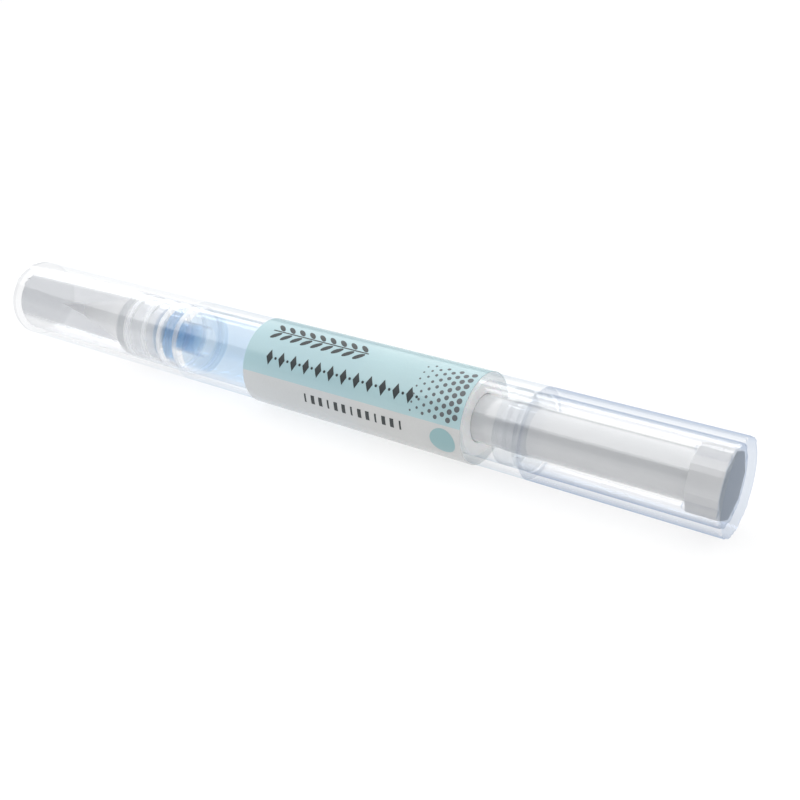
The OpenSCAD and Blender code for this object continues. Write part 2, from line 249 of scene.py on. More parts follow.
def round_rings(piece, rings, width, segments=4):
    """Bevels the round edges of a turned piece that run through the (s, radius) places."""
    open_mesh("EDGE", "DESELECT")
    bpy.ops.object.mode_set(mode="OBJECT")
    vertices = piece.data.vertices
    tolerance = 0.002 * mm

    def is_on(index, ring):
        place = vertices[index].co
        near_s = abs(place.x - on_axis(ring[0])[0]) < tolerance
        return near_s and abs(off_axis(place) - ring[1] * mm) < tolerance

    for edge in piece.data.edges:
        edge.select = any(all(is_on(i, ring) for i in edge.vertices) for ring in rings)
    bpy.ops.object.mode_set(mode="EDIT")
    bpy.ops.mesh.bevel(offset=width * mm, segments=segments, affect="EDGES")
    bpy.ops.object.mode_set(mode="OBJECT")


def smooth_piece(piece, angle=35):
    """Shades a piece smooth, but for edges sharper than the angle, and keeps its large faces true."""
    pick(piece)
    bpy.ops.object.shade_smooth_by_angle(angle=math.radians(angle))
    true_faces = piece.modifiers.new("true_faces", "WEIGHTED_NORMAL")
    true_faces.keep_sharp = True
    true_faces.weight = 100
    bpy.ops.object.modifier_apply(modifier="true_faces")


rib_rings = []
for rib_s in (26.6, 30.067, 33.533, 37.0):
    rib_rings += [
        (rib_s - rib_slope, neck_radius), (rib_s, rib_radius), (rib_s + rib_width, rib_radius),
        (rib_s + rib_width + rib_slope, neck_radius),
    ]
shell_rings = [
    (barrel_front, body_radius), (barrel_rear, body_radius), (barrel_rear, bore_radius),
    (seat_wall, bore_radius), (seat_wall, neck_bore_radius),
]
barrel_shell = turn_piece("barrel_shell", [(neck_tip, neck_bore_radius)] + rib_rings + shell_rings, sides=192)
round_rings(barrel_shell, [(barrel_front, body_radius), (barrel_rear, body_radius)], 0.16)
round_rings(barrel_shell, [(barrel_rear, bore_radius), (seat_wall, neck_bore_radius)], 0.1, 3)
round_rings(barrel_shell, [(seat_wall, bore_radius)], 0.3)
round_rings(barrel_shell, [ring for ring in rib_rings if ring[1] == rib_radius], 0.1, 3)
smooth_piece(barrel_shell)

grain_height = 0.01 * mm


def let_light_in(material, shader, tint, share=1.0):
    """Lets lamp and bounced light pass straight through a clear wall, so that what it holds is lit."""
    path = add_node(material, "ShaderNodeLightPath")
    lit = add_node(
        material,
        "ShaderNodeMath",
        {"operation": "MAXIMUM"},
        {0: (path, "Is Shadow Ray"), 1: (path, "Is Diffuse Ray")},
    )
    passed = add_node(material, "ShaderNodeMath", {"operation": "MULTIPLY", 1: share}, {0: (lit, 0)})
    open_way = add_node(material, "ShaderNodeBsdfTransparent", {"Color": hex_colour(tint)})
    return add_node(material, "ShaderNodeMixShader", {}, {0: (passed, 0), 1: (shader, 0), 2: (open_way, 0)})


def spread(material, scale, detail):
    """Noise of so many cycles a metre over a piece."""
    place = add_node(material, "ShaderNodeTexCoord")
    look = {"Scale": scale, "Detail": detail}
    return add_node(material, "ShaderNodeTexNoise", look, {"Vector": (place, "Object")})


def clear_plastic(name, face_on, edge_on):
    """A clear glossy moulding with faint flow marks. As its wall turns away it takes the edge_on colour, a
    painted edge shade.

    Returns the material, and the tint, see-through and wall nodes that another finish can join.
    """
    material = new_material(name)
    place = add_node(material, "ShaderNodeTexCoord")
    stretch = add_node(material, "ShaderNodeMapping", {"Scale": (0.35, 1, 1)}, {"Vector": (place, "Object")})
    flow = add_node(material, "ShaderNodeTexNoise", {"Scale": 260, "Detail": 2}, {"Vector": (stretch, 0)})
    bump = add_node(
        material, "ShaderNodeBump", {"Strength": 0.04, "Distance": grain_height}, {"Height": (flow, 0)}
    )
    haze = add_node(material, "ShaderNodeMapRange", {"To Min": 0.06, "To Max": 0.1}, {"Value": (flow, 0)})
    tilt = add_node(material, "ShaderNodeLayerWeight", {"Blend": 0.5})
    # Painted edge shade: the see-through tint goes from face_on to edge_on as the wall is seen more edge-on
    tilt_cubed = add_node(material, "ShaderNodeMath", {"operation": "POWER", 1: 3}, {0: (tilt, "Facing")})
    tint = add_node(
        material,
        "ShaderNodeMix",
        {"data_type": "RGBA", 6: hex_colour(face_on), 7: hex_colour(edge_on)},
        {"Factor": (tilt_cubed, 0)},
    )
    see = add_node(material, "ShaderNodeBsdfTransparent", {}, {"Color": (tint, "Result")})
    gloss = add_node(
        material,
        "ShaderNodeBsdfAnisotropic",
        {"Color": (1, 1, 1, 1)},
        {"Roughness": (haze, 0), "Normal": (bump, 0)},
    )
    tilt_fifth = add_node(material, "ShaderNodeMath", {"operation": "POWER", 1: 5}, {0: (tilt, "Facing")})
    shine = add_node(
        material, "ShaderNodeMath", {"operation": "MULTIPLY_ADD", 1: 0.22, 2: 0.042}, {0: (tilt_fifth, 0)}
    )
    wall = add_node(material, "ShaderNodeMixShader", {}, {0: (shine, 0), 1: (see, 0), 2: (gloss, 0)})
    finish_material(material, let_light_in(material, wall, "FBFBFC", 0.8))
    return material, tint, see, wall


# Clear styrene-acrylonitrile of the barrel: nearly colourless, with a faint grey-blue painted edge shade
clear_san = clear_plastic("polished_clear_san", "FEFEFE", "E6ECF2")[0]

# The same plastic at the neck. Its thick wall bends light, so it magnifies what lies in the narrow bore
neck_san = new_material("polished_clear_san_neck")
neck_lens = add_node(
    neck_san, "ShaderNodeBsdfGlass", {"Color": hex_colour("FDFDFE"), "Roughness": 0.015, "IOR": 1.49}
)
neck_side = add_node(neck_san, "ShaderNodeNewGeometry")
neck_out = add_node(neck_san, "ShaderNodeBsdfTransparent", {"Color": hex_colour("FCFDFE")})
neck_wall = add_node(
    neck_san, "ShaderNodeMixShader", {}, {0: (neck_side, "Backfacing"), 1: (neck_lens, 0), 2: (neck_out, 0)}
)
finish_material(neck_san, let_light_in(neck_san, neck_wall, "F4F6F8"))
barrel_shell.data.materials.append(clear_san)
barrel_shell.data.materials.append(neck_san)

# The neck's rib crests get a partly opaque white satin: a painted highlight, so that each shows as a white
# ring
crest_highlight_san = new_material("san_crest_painted_highlight")
crest_grain = spread(crest_highlight_san, 2500, 2)
crest_share = add_node(
    crest_highlight_san, "ShaderNodeMapRange", {"To Min": 0.5, "To Max": 0.7}, {"Value": (crest_grain, 0)}
)
crest_skin = add_node(
    crest_highlight_san,
    "ShaderNodeBsdfPrincipled",
    {"Base Color": hex_colour("FAFBFC"), "Roughness": 0.3, "IOR": 1.57},
)
crest_see = add_node(crest_highlight_san, "ShaderNodeBsdfTransparent", {"Color": hex_colour("FAFBFD")})
crest_wall = add_node(
    crest_highlight_san, "ShaderNodeMixShader", {}, {0: (crest_share, 0), 1: (crest_skin, 0), 2: (crest_see, 0)}
)
finish_material(crest_highlight_san, let_light_in(crest_highlight_san, crest_wall, "FAFBFC"))
barrel_shell.data.materials.append(crest_highlight_san)

# The neck's bore stays clear, its outer skin is the lens, and its ribs have clear slopes and crests with a
# painted highlight
skin_from = 4.5
slope_from = 4.97
crest_from = 5.15
for face in barrel_shell.data.polygons:
    out = off_axis(face.center)
    if face.center.x > on_axis(barrel_front - 0.2)[0] or out < skin_from * mm:
        continue
    if out > crest_from * mm:
        face.material_index = 2
    elif out < slope_from * mm:
        face.material_index = 1

# The light that runs along a clear wall leaves at its end, so a rim looks like a grey-blue line
clear_rim = clear_plastic("clear_moulding_rim", "F7F8FA", "E2E6EB")[0]


def tint_rims(shell, first_s, last_s):
    """Gives the rim material to the faces of a shell's end ring between two stations."""
    shell.data.materials.append(clear_rim)
    rim_slot = len(shell.data.materials) - 1
    for face in shell.data.polygons:
        if on_axis(first_s)[0] <= face.center.x <= on_axis(last_s)[0]:
            face.material_index = rim_slot


tint_rims(barrel_shell, barrel_rear - 0.12, barrel_rear + 0.05)

# The wall at the front of the oil space is wetted by the oil and takes its pale blue
wetted_san = clear_plastic("polished_clear_san_wetted_by_oil", "E4EEF7", "DCE8F3")[0]
barrel_shell.data.materials.append(wetted_san)
for face in barrel_shell.data.polygons:
    at_seat = abs(face.center.x - on_axis(seat_wall)[0]) < 0.35 * mm
    beside_bore = off_axis(face.center) > (neck_bore_radius + 0.05) * mm
    if at_seat and beside_bore and face.normal.x > 0.5:
        face.material_index = len(barrel_shell.data.materials) - 1
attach(barrel_shell, "barrel")
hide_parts("barrel")
clear_pieces.objects.link(barrel_shell)


# Brush seat, seal ring and feed tube
# The seat is a moulded plug of satin polypropylene. Its flange closes the neck, and its stem holds a small
# silicone seal ring. A fine tube is pressed through it, from the oil to the bristles.
seat_nose = 21.4
seat_bore_radius = 0.28
nose_radius = 1.5
flange_front = 24.4
flange_radius = 5.2
stem_radius = 2.39
stem_end = 31.1
groove_front = 28.7
groove_rear = 29.36
groove_radius = 1.82
seat_plug = turn_piece(
    "brush_seat_plug",
    [
        (seat_nose, seat_bore_radius), (seat_nose, nose_radius), (flange_front, nose_radius),
        (flange_front, flange_radius), (neck_tip, flange_radius), (neck_tip, stem_radius),
        (groove_front, stem_radius), (groove_front, groove_radius), (groove_rear, groove_radius),
        (groove_rear, stem_radius), (stem_end, stem_radius), (stem_end, seat_bore_radius),
    ],
    sides=128,
)
round_rings(seat_plug, [(flange_front, flange_radius)], 0.35)
seat_edges = [(neck_tip, flange_radius), (stem_end, stem_radius), (seat_nose, nose_radius)]
round_rings(seat_plug, seat_edges, 0.12, 3)
smooth_piece(seat_plug)


def clouded(material, scale, detail, first, second):
    """A colour that drifts between two hex colours."""
    cloud = spread(material, scale, detail)
    return add_node(
        material,
        "ShaderNodeMix",
        {"data_type": "RGBA", 6: hex_colour(first), 7: hex_colour(second)},
        {"Factor": (cloud, 0)},
    )


def grained(material, scale, detail, strength):
    """A bump of surface grain."""
    grain = spread(material, scale, detail)
    relief = {"Strength": strength, "Distance": grain_height}
    return add_node(material, "ShaderNodeBump", relief, {"Height": (grain, 0)})


def retoned(material, name, first, second):
    """A copy of a clouded material in two other tones."""
    copy = material.copy()
    copy.name = name
    tone = next(n for n in copy.node_tree.nodes if n.type == "MIX")
    tone.inputs[6].default_value = hex_colour(first)
    tone.inputs[7].default_value = hex_colour(second)
    return copy


# Satin polypropylene: milky, lets light through, and shows fine tool grain of about 0.1 mm
milky_pp = new_material("satin_milky_polypropylene")
pp_colour = clouded(milky_pp, 500, 3, "F3F4F4", "FBFBFA")
pp_bump = grained(milky_pp, 9000, 2, 0.3)
pp_shader = add_node(
    milky_pp,
    "ShaderNodeBsdfPrincipled",
    {"Roughness": 0.32, "IOR": 1.49, "Transmission Weight": 0.45},
    {"Base Color": (pp_colour, "Result"), "Normal": (pp_bump, 0)},
)
pp_glow = add_node(milky_pp, "ShaderNodeBsdfTranslucent", {}, {"Color": (pp_colour, "Result")})
pp_milk = add_node(milky_pp, "ShaderNodeMixShader", {0: 0.35}, {1: (pp_shader, 0), 2: (pp_glow, 0)})
finish_material(milky_pp, let_light_in(milky_pp, pp_milk, "F8F9F9", 0.7))
seat_plug.data.materials.append(milky_pp)

# The flange's rim takes a greyer tone of the same plastic: painted shade along the rim
flange_shade_pp = retoned(milky_pp, "satin_milky_polypropylene_flange_painted_shade", "CFD2D4", "D6D8D9")
seat_plug.data.materials.append(flange_shade_pp)
for face in seat_plug.data.polygons:
    on_rim = off_axis(face.center) > (flange_radius - 0.15) * mm
    face.material_index = int(on_rim and face.center.x < on_axis(neck_tip - 0.4)[0])
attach(seat_plug, "barrel")
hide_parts("brush_seat")

seal_radius = 2.135
seal_thickness = 0.6
bpy.ops.object.select_all(action="DESELECT")
bpy.ops.mesh.primitive_torus_add(
    major_segments=96,
    minor_segments=20,
    major_radius=seal_radius * mm,
    minor_radius=seal_thickness / 2 * mm,
    location=on_axis((groove_front + groove_rear) / 2),
    rotation=(0, math.pi / 2, 0),
)
seal_ring = bpy.context.object
seal_ring.name = "neck_seal_ring"
bpy.ops.object.transform_apply(location=True, rotation=True, scale=True)
smooth_piece(seal_ring, 80)

# Silicone rubber: soft grey-white, waxy, with dusty spots of about 0.2 mm
seal_silicone = new_material("moulded_silicone_rubber")
silicone_colour = clouded(seal_silicone, 5000, 3, "C4C8CB", "DADDDF")
silicone_shader = add_node(
    seal_silicone,
    "ShaderNodeBsdfPrincipled",
    {"Roughness": 0.55, "IOR": 1.43, "Subsurface Weight": 0.3, "Subsurface Scale": 0.0005},
    {"Base Color": (silicone_colour, "Result")},
)
finish_material(seal_silicone, silicone_shader)
seal_ring.data.materials.append(seal_silicone)
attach(seal_ring, "barrel")
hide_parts("neck_seal")

pipe_front = 14.78
pipe_radius = 0.25
pipe_bore_radius = 0.14
feed_pipe = turn_piece(
    "feed_pipe",
    [
        (pipe_front, pipe_bore_radius), (pipe_front, pipe_radius), (stem_end, pipe_radius),
        (stem_end, pipe_bore_radius),
    ],
    sides=32,
)
smooth_piece(feed_pipe)
feed_pipe.data.materials.append(milky_pp)
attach(feed_pipe, "barrel")
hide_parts("feed_tube")


# Ferrule
# A thin cone of milky polypropylene, moulded in one piece. Its wide end is pressed on the seat's flange, and
# its mouth grips the bristles.
ferrule_mouth = 12.5
mouth_radius = 1.42
base_radius = 4.2
base_bore_radius = 3.6
grip_radius = 1.2
grip_end = 15.38
ferrule_cone = turn_piece(
    "ferrule_cone",
    [
        (ferrule_mouth, grip_radius), (ferrule_mouth, mouth_radius), (flange_front, base_radius),
        (flange_front, base_bore_radius), (16.58, 1.773), (grip_end, grip_radius),
    ],
    sides=128,
)
round_rings(ferrule_cone, [(ferrule_mouth, mouth_radius)], 0.1, 3)
round_rings(ferrule_cone, [(flange_front, base_radius)], 0.15, 3)
smooth_piece(ferrule_cone)

# The same polypropylene in a thin wall: fainter, so that what is behind the cone shows through it
thin_pp = new_material("thin_frosted_polypropylene")
thin_colour = clouded(thin_pp, 600, 3, "F6F6F5", "FDFDFC")
thin_skin = add_node(
    thin_pp,
    "ShaderNodeBsdfPrincipled",
    {"Roughness": 0.3, "IOR": 1.49},
    {"Base Color": (thin_colour, "Result")},
)
thin_glow = add_node(thin_pp, "ShaderNodeBsdfTranslucent", {}, {"Color": (thin_colour, "Result")})
thin_milk = add_node(thin_pp, "ShaderNodeMixShader", {0: 0.75}, {1: (thin_skin, 0), 2: (thin_glow, 0)})
thin_open = add_node(thin_pp, "ShaderNodeBsdfTransparent", {"Color": hex_colour("FCFCFC")})
thin_wall = add_node(thin_pp, "ShaderNodeMixShader", {0: 0.5}, {1: (thin_milk, 0), 2: (thin_open, 0)})
finish_material(thin_pp, let_light_in(thin_pp, thin_wall, "FBFBFB", 0.85))
ferrule_cone.data.materials.append(thin_pp)
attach(ferrule_cone, "barrel")
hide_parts("brush_ferrule")


# Bristles
# Tapered nylon filaments fused to a small disc inside the ferrule. They fill its mouth and close to a point.
# Outer filaments are shorter and bend inwards, so the tuft is a slim cone.
filament_count = 620
filament_steps = 6
filament_root = 14.6
filament_radius = 0.042
tuft_length = 7.3
tuft_radius = 1.12
golden_angle = 2.39996
left_for_tube = 50
random.seed(7)
filament_curve = bpy.data.curves.new("filaments", "CURVE")
filament_curve.dimensions = "3D"
filament_curve.bevel_depth = filament_radius * mm
filament_curve.bevel_resolution = 0
filament_curve.use_fill_caps = True
for filament in range(filament_count):
    share = math.sqrt((filament + left_for_tube) / (filament_count + left_for_tube))
    turn = filament * golden_angle
    reach = (1 - 0.5 * share ** 2) * random.uniform(0.97, 1.0)
    sway = random.uniform(-0.05, 0.05)
    spline = filament_curve.splines.new("POLY")
    spline.points.add(filament_steps)
    for step, point in enumerate(spline.points):
        travel = step / filament_steps
        s = filament_root + (ferrule_mouth - reach * tuft_length - filament_root) * travel
        out = max(0.0, (ferrule_mouth - s) / tuft_length)
        radius = tuft_radius * share * (1 - 0.93 * out ** 1.12)
        angle = turn + sway * out
        x, y, z = on_axis(s)
        point.co = (x, y + radius * math.sin(angle) * mm, z + radius * math.cos(angle) * mm, 1)
        point.radius = 1 - 0.75 * travel ** 3
bristles = bpy.data.objects.new("bristle_bundle", filament_curve)
bpy.context.collection.objects.link(bristles)
pick(bristles)
bpy.ops.object.convert(target="MESH")
disc_front = 14.2
disc_radius = 1.17
bristle_disc = turn_piece(
    "bristle_disc",
    [
        (disc_front, seat_bore_radius), (disc_front, disc_radius), (grip_end, disc_radius),
        (grip_end, seat_bore_radius),
    ],
    sides=64,
)
pick(bristles, bristle_disc)
bpy.ops.object.join()
smooth_piece(bristles, 60)

# Nylon filament: translucent warm white, glossier along its length, with tone changes every 0.5 mm or so
nylon = new_material("drawn_nylon_filament")
nylon_colour = clouded(nylon, 2000, 2, "F6F7F8", "FEFEFE")
nylon_shader = add_node(
    nylon,
    "ShaderNodeBsdfPrincipled",
    {"Roughness": 0.35, "IOR": 1.53},
    {"Base Color": (nylon_colour, "Result")},
)
nylon_glow = add_node(nylon, "ShaderNodeBsdfTranslucent", {}, {"Color": (nylon_colour, "Result")})
nylon_mix = add_node(nylon, "ShaderNodeMixShader", {0: 0.75}, {1: (nylon_shader, 0), 2: (nylon_glow, 0)})
nylon_clear = add_node(nylon, "ShaderNodeBsdfTransparent", {"Color": hex_colour("FEFEFE")})
nylon_wet = add_node(nylon, "ShaderNodeMixShader", {0: 0.9}, {1: (nylon_mix, 0), 2: (nylon_clear, 0)})
finish_material(nylon, let_light_in(nylon, nylon_wet, "FEFEFE", 0.97))
bristles.data.materials.clear()
bristles.data.materials.append(nylon)
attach(bristles, "barrel")
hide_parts("brush_tuft")


# Oil
# Clear pale-blue oil fills the bore up to the piston and the back of the neck behind the stem. It wets the
# walls, so its skin lies a hair inside the plastic. The long part shortens as the piston comes forward.
oil_front = 38.92
oil_rear = 72.47
oil_radius = 5.22
neck_oil_front = 31.13
neck_oil_middle = 37.0
neck_oil_end = 38.9
neck_oil_radius = 2.46
oil_column = turn_piece(
    "oil_column", [(oil_front, 0), (oil_front, oil_radius), (oil_rear, oil_radius), (oil_rear, 0)], sides=192
)
round_rings(oil_column, [(oil_front, oil_radius)], 0.3)
smooth_piece(oil_column)


def neck_drop(name, front, rear):
    """The oil between two stations of the neck."""
    drop = turn_piece(
        name, [(front, 0), (front, neck_oil_radius), (rear, neck_oil_radius), (rear, 0)], sides=128
    )
    smooth_piece(drop)
    return drop


neck_oil = neck_drop("neck_oil", neck_oil_front, neck_oil_middle)
neck_oil_rear = neck_drop("neck_oil_rear", neck_oil_middle + 0.01, neck_oil_end)

# Clear pale-blue oil: its colour deepens with the depth looked through, with slow swirls about 6 mm long
pale_oil = new_material("pale_blue_nail_oil")
oil_tint = clouded(pale_oil, 180, 2, "FAFCFE", "FFFFFF")
oil_see = add_node(pale_oil, "ShaderNodeBsdfTransparent", {}, {"Color": (oil_tint, "Result")})
oil_gloss = add_node(pale_oil, "ShaderNodeBsdfAnisotropic", {"Color": (1, 1, 1, 1), "Roughness": 0.25})
oil_tilt = add_node(pale_oil, "ShaderNodeLayerWeight", {"Blend": 0.5})
oil_shine = add_node(
    pale_oil,
    "ShaderNodeMapRange",
    {"From Min": 0.54, "From Max": 0.68, "To Min": 0.02, "To Max": 0.5},
    {"Value": (oil_tilt, "Facing")},
)
oil_skin = add_node(
    pale_oil, "ShaderNodeMixShader", {}, {0: (oil_shine, 0), 1: (oil_see, 0), 2: (oil_gloss, 0)}
)
oil_depth = add_node(
    pale_oil, "ShaderNodeVolumeAbsorption", {"Color": (0.30, 0.57, 0.78, 1), "Density": 62}
)
finish_material(pale_oil, oil_skin, oil_depth)
neck_blue = pale_oil.copy()
neck_blue.name = "nail_oil_seen_deep_in_the_neck"
neck_depth = next(n for n in neck_blue.node_tree.nodes if n.type == "VOLUME_ABSORPTION")
neck_depth.inputs["Density"].default_value = 400
oil_column.data.materials.append(pale_oil)
neck_oil.data.materials.append(neck_blue)
neck_oil_rear.data.materials.append(pale_oil)
for oil in (oil_column, neck_oil, neck_oil_rear):
    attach(oil, "barrel")
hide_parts("oil_fill")
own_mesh(oil_column)


# Label
# One printed polypropylene film is wrapped round the barrel, and its ends stop short of each other at the
# back. Most of it is printed pale teal, and the part below the middle is bare light grey film.
label_start = 52.7
label_length = 37.0
label_steps = 24
film_thickness = 0.165
slit_roll = 120
slit_half = 3.6
teal_low_roll = -83.3
teal_high_roll = 121
bpy.ops.object.select_all(action="DESELECT")
bpy.ops.mesh.primitive_circle_add(
    vertices=256,
    radius=body_radius * mm,
    fill_type="NOTHING",
    location=on_axis(label_start),
    rotation=(0, math.pi / 2, 0),
)
label_film = bpy.context.object
label_film.name = "label_film"
bpy.ops.object.transform_apply(location=True, rotation=True, scale=True)


def roll_of(point):
    """The angle round the pen in degrees: 0 is up, and positive is to the far side."""
    return math.degrees(math.atan2(point.y, point.z - axis_height * mm))


open_mesh(action="DESELECT")
bpy.ops.object.mode_set(mode="OBJECT")
for vertex in label_film.data.vertices:
    vertex.select = abs(roll_of(vertex.co) - slit_roll) < slit_half
bpy.ops.object.mode_set(mode="EDIT")
bpy.ops.mesh.delete(type="VERT")
bpy.ops.mesh.select_all(action="SELECT")
label_step = (label_length / label_steps * mm, 0, 0)
for _ in range(label_steps):
    bpy.ops.mesh.extrude_edges_move(TRANSFORM_OT_translate={"value": label_step})
bpy.ops.mesh.select_all(action="SELECT")
bpy.ops.mesh.normals_make_consistent(inside=False)
bpy.ops.object.mode_set(mode="OBJECT")
first_face = label_film.data.polygons[0]
film_faces_out = first_face.normal.dot(first_face.center - Vector(on_axis(label_start))) > 0
film = label_film.modifiers.new("film", "SOLIDIFY")
film.thickness = film_thickness * mm
film.offset = 1 if film_faces_out else -1
bpy.ops.object.modifier_apply(modifier="film")
smooth_piece(label_film)


def round_axis(material):
    """The place on a piece counted from the pen's axis, and how far it is from the axis."""
    place = add_node(material, "ShaderNodeTexCoord")
    centre = add_node(
        material, "ShaderNodeMapping", {"Location": (0, 0, -axis_height * mm)}, {"Vector": (place, "Object")}
    )
    split = add_node(material, "ShaderNodeSeparateXYZ", {}, {"Vector": (centre, 0)})
    across = add_node(material, "ShaderNodeCombineXYZ", {}, {"Y": (split, "Y"), "Z": (split, "Z")})
    return split, add_node(material, "ShaderNodeVectorMath", {"operation": "LENGTH"}, {0: (across, 0)})


# Glossy printed film: the ink follows the angle round the pen, over a faint orange peel of about 0.6 mm
printed_film = new_material("gloss_printed_film")
film_split, film_radius = round_axis(printed_film)
film_roll = add_node(
    printed_film, "ShaderNodeMath", {"operation": "ARCTAN2"}, {0: (film_split, "Y"), 1: (film_split, "Z")}
)
teal_from = add_node(
    printed_film,
    "ShaderNodeMath",
    {"operation": "GREATER_THAN", 1: math.radians(teal_low_roll)},
    {0: (film_roll, 0)},
)
teal_to = add_node(
    printed_film,
    "ShaderNodeMath",
    {"operation": "LESS_THAN", 1: math.radians(teal_high_roll)},
    {0: (film_roll, 0)},
)
teal_area = add_node(
    printed_film, "ShaderNodeMath", {"operation": "MULTIPLY"}, {0: (teal_from, 0), 1: (teal_to, 0)}
)
teal_ink = clouded(printed_film, 4000, 2, "AECDD2", "B4D1D5")
bare_film = clouded(printed_film, 4000, 2, "CFCFCE", "D5D5D4")
film_colour = add_node(
    printed_film,
    "ShaderNodeMix",
    {"data_type": "RGBA"},
    {"Factor": (teal_area, 0), 6: (bare_film, "Result"), 7: (teal_ink, "Result")},
)
printed_side = add_node(
    printed_film,
    "ShaderNodeMath",
    {"operation": "GREATER_THAN", 1: (body_radius + 0.08) * mm},
    {0: (film_radius, "Value")},
)
film_sides = add_node(
    printed_film,
    "ShaderNodeMix",
    {"data_type": "RGBA", 6: hex_colour("F7F7F6")},
    {"Factor": (printed_side, 0), 7: (film_colour, "Result")},
)
film_bump = grained(printed_film, 1500, 1, 0.12)
film_shader = add_node(
    printed_film,
    "ShaderNodeBsdfPrincipled",
    {"Roughness": 0.22, "IOR": 1.49, "Specular IOR Level": 0.9, "Coat Weight": 0.6, "Coat Roughness": 0.12},
    {"Base Color": (film_sides, "Result"), "Normal": (film_bump, 0)},
)
film_glow = add_node(printed_film, "ShaderNodeBsdfTranslucent", {}, {"Color": (film_sides, "Result")})
film_mix = add_node(printed_film, "ShaderNodeMixShader", {0: 0.3}, {1: (film_shader, 0), 2: (film_glow, 0)})
finish_material(printed_film, let_light_in(printed_film, film_mix, "F4F6F6", 0.85))
label_film.data.materials.append(printed_film)
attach(label_film, "barrel")
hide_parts("label")


# Print
# Generic decoration, screen-printed on the film in a thin raised ink: a sprig of leaves, a border of diamonds
# and dots, a field of dots that grow towards the knob, a row of bars and a plain disc.
print_radius = 6.405
ink_thickness = 0.022
cut_step = 0.4


def open_sheet(name):
    """Starts an empty flat sheet of marks in edit mode: x runs along the pen, and y round it."""
    bpy.ops.object.select_all(action="DESELECT")
    bpy.ops.mesh.primitive_plane_add(size=mm)
    sheet = bpy.context.object
    sheet.name = name
    open_mesh()
    bpy.ops.mesh.delete(type="VERT")
    return sheet


def mark(corners, s, roll, length, width, slant=0):
    """One flat mark of so many corners. Its length is along the pen before it is slanted.

    Four corners make a diamond, or with a slant of 45 degrees a bar that stands across the pen.
    """
    place = ((s - pen_middle) * mm, print_radius * math.radians(roll) * mm, 0)
    bpy.ops.mesh.select_all(action="DESELECT")
    bpy.ops.mesh.primitive_circle_add(vertices=corners, radius=0.5 * mm, fill_type="NGON", location=place)
    if corners == 4 and slant == 45:
        length, width, slant = length * math.sqrt(2), width * math.sqrt(2), 0
        bpy.ops.transform.rotate(value=math.radians(45), orient_axis="Z", center_override=place)
    bpy.ops.transform.resize(value=(length, width, 1), center_override=place)
    if slant:
        bpy.ops.transform.rotate(value=math.radians(slant), orient_axis="Z", center_override=place)


def wrap_sheet(sheet, ink, lowest_roll, highest_roll):
    """Cuts the marks across at every step, lays them round the label, and gives the ink its thickness."""
    cut_y = print_radius * math.radians(lowest_roll)
    while cut_y < print_radius * math.radians(highest_roll):
        bpy.ops.mesh.select_all(action="SELECT")
        bpy.ops.mesh.bisect(plane_co=(0, cut_y * mm, 0), plane_no=(0, 1, 0))
        cut_y += cut_step
    bpy.ops.object.mode_set(mode="OBJECT")
    for vertex in sheet.data.vertices:
        roll = vertex.co.y / (print_radius * mm)
        vertex.co.y = print_radius * math.sin(roll) * mm
        vertex.co.z = (axis_height + print_radius * math.cos(roll)) * mm
    layer = sheet.modifiers.new("ink_layer", "SOLIDIFY")
    layer.thickness = ink_thickness * mm
    layer.offset = 1
    bpy.ops.object.modifier_apply(modifier="ink_layer")
    sheet.data.materials.append(ink)
    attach(sheet, "barrel")


def screen_ink(name, dark, light):
    """Satin screen ink, with a faint mottle of about 0.1 mm where the mesh left more or less of it."""
    ink = new_material(name)
    ink_colour = clouded(ink, 9000, 2, dark, light)
    satin = {"Roughness": 0.4, "IOR": 1.5}
    ink_shader = add_node(ink, "ShaderNodeBsdfPrincipled", satin, {"Base Color": (ink_colour, "Result")})
    finish_material(ink, ink_shader)
    return ink


sprig_roll = -20
leaf_pitch = 1.85
border_roll = -59
border_pitch = 2.2
bars_roll = -99.5
bar_pitch = 1.35
dark_sheet = open_sheet("ink_sprig_and_border")
mark(4, 63.9, sprig_roll, 17.0, 0.2, 45)
for leaf in range(9):
    for side in (-1, 1):
        mark(12, 56.4 + leaf_pitch * leaf, sprig_roll + side * 7.6, 1.95, 0.72, side * 38)
for step in range(12):
    mark(4, 57.2 + border_pitch * step, border_roll, 1.15, 2.3)
    mark(10, 58.3 + border_pitch * step, border_roll, 0.42, 0.42)
for bar in range(13):
    mark(4, 64.2 + bar_pitch * bar, bars_roll, 0.62 if bar % 3 else 0.3, 1.4, 45)
wrap_sheet(dark_sheet, screen_ink("dark_screen_ink", "262D2F", "2E3537"), -108, 0)

dot_pitch = 0.98
dot_roll_pitch = 10
grey_sheet = open_sheet("ink_dot_field")
for column in range(8):
    for row in range(7):
        dot = 0.3 + 0.075 * column
        dot_roll = -76 + dot_roll_pitch * (row + 0.5 * (column % 2))
        mark(12, 81.9 + dot_pitch * column, dot_roll, dot, dot)
wrap_sheet(grey_sheet, screen_ink("grey_screen_ink", "565A5D", "5E6265"), -82, 0)

disc_sheet = open_sheet("ink_disc")
mark(40, 87, -105, 3.9, 3.9)
wrap_sheet(disc_sheet, screen_ink("teal_screen_ink", "8AACB0", "92B3B7"), -126, -84)


# Piston and inner rings
# A piston of white polyethylene with two sealing lips, moulded in one piece. The spindle's head snaps into
# its back. The nut, click ring, ratchet wheel and lock ring are mouldings of the same plastic.
white_pe = new_material("moulded_white_polyethylene")
pe_colour = clouded(white_pe, 700, 3, "F6F6F5", "FCFCFB")
pe_bump = grained(white_pe, 8000, 2, 0.2)
pe_shader = add_node(
    white_pe,
    "ShaderNodeBsdfPrincipled",
    {"Roughness": 0.38, "IOR": 1.51, "Subsurface Weight": 0.15, "Subsurface Scale": 0.0006},
    {"Base Color": (pe_colour, "Result"), "Normal": (pe_bump, 0)},
)
finish_material(white_pe, pe_shader)


def dress(node_name, material):
    """Gives a CAD node its finish."""
    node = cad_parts[node_name]
    node.data.materials.clear()
    node.data.materials.append(material)


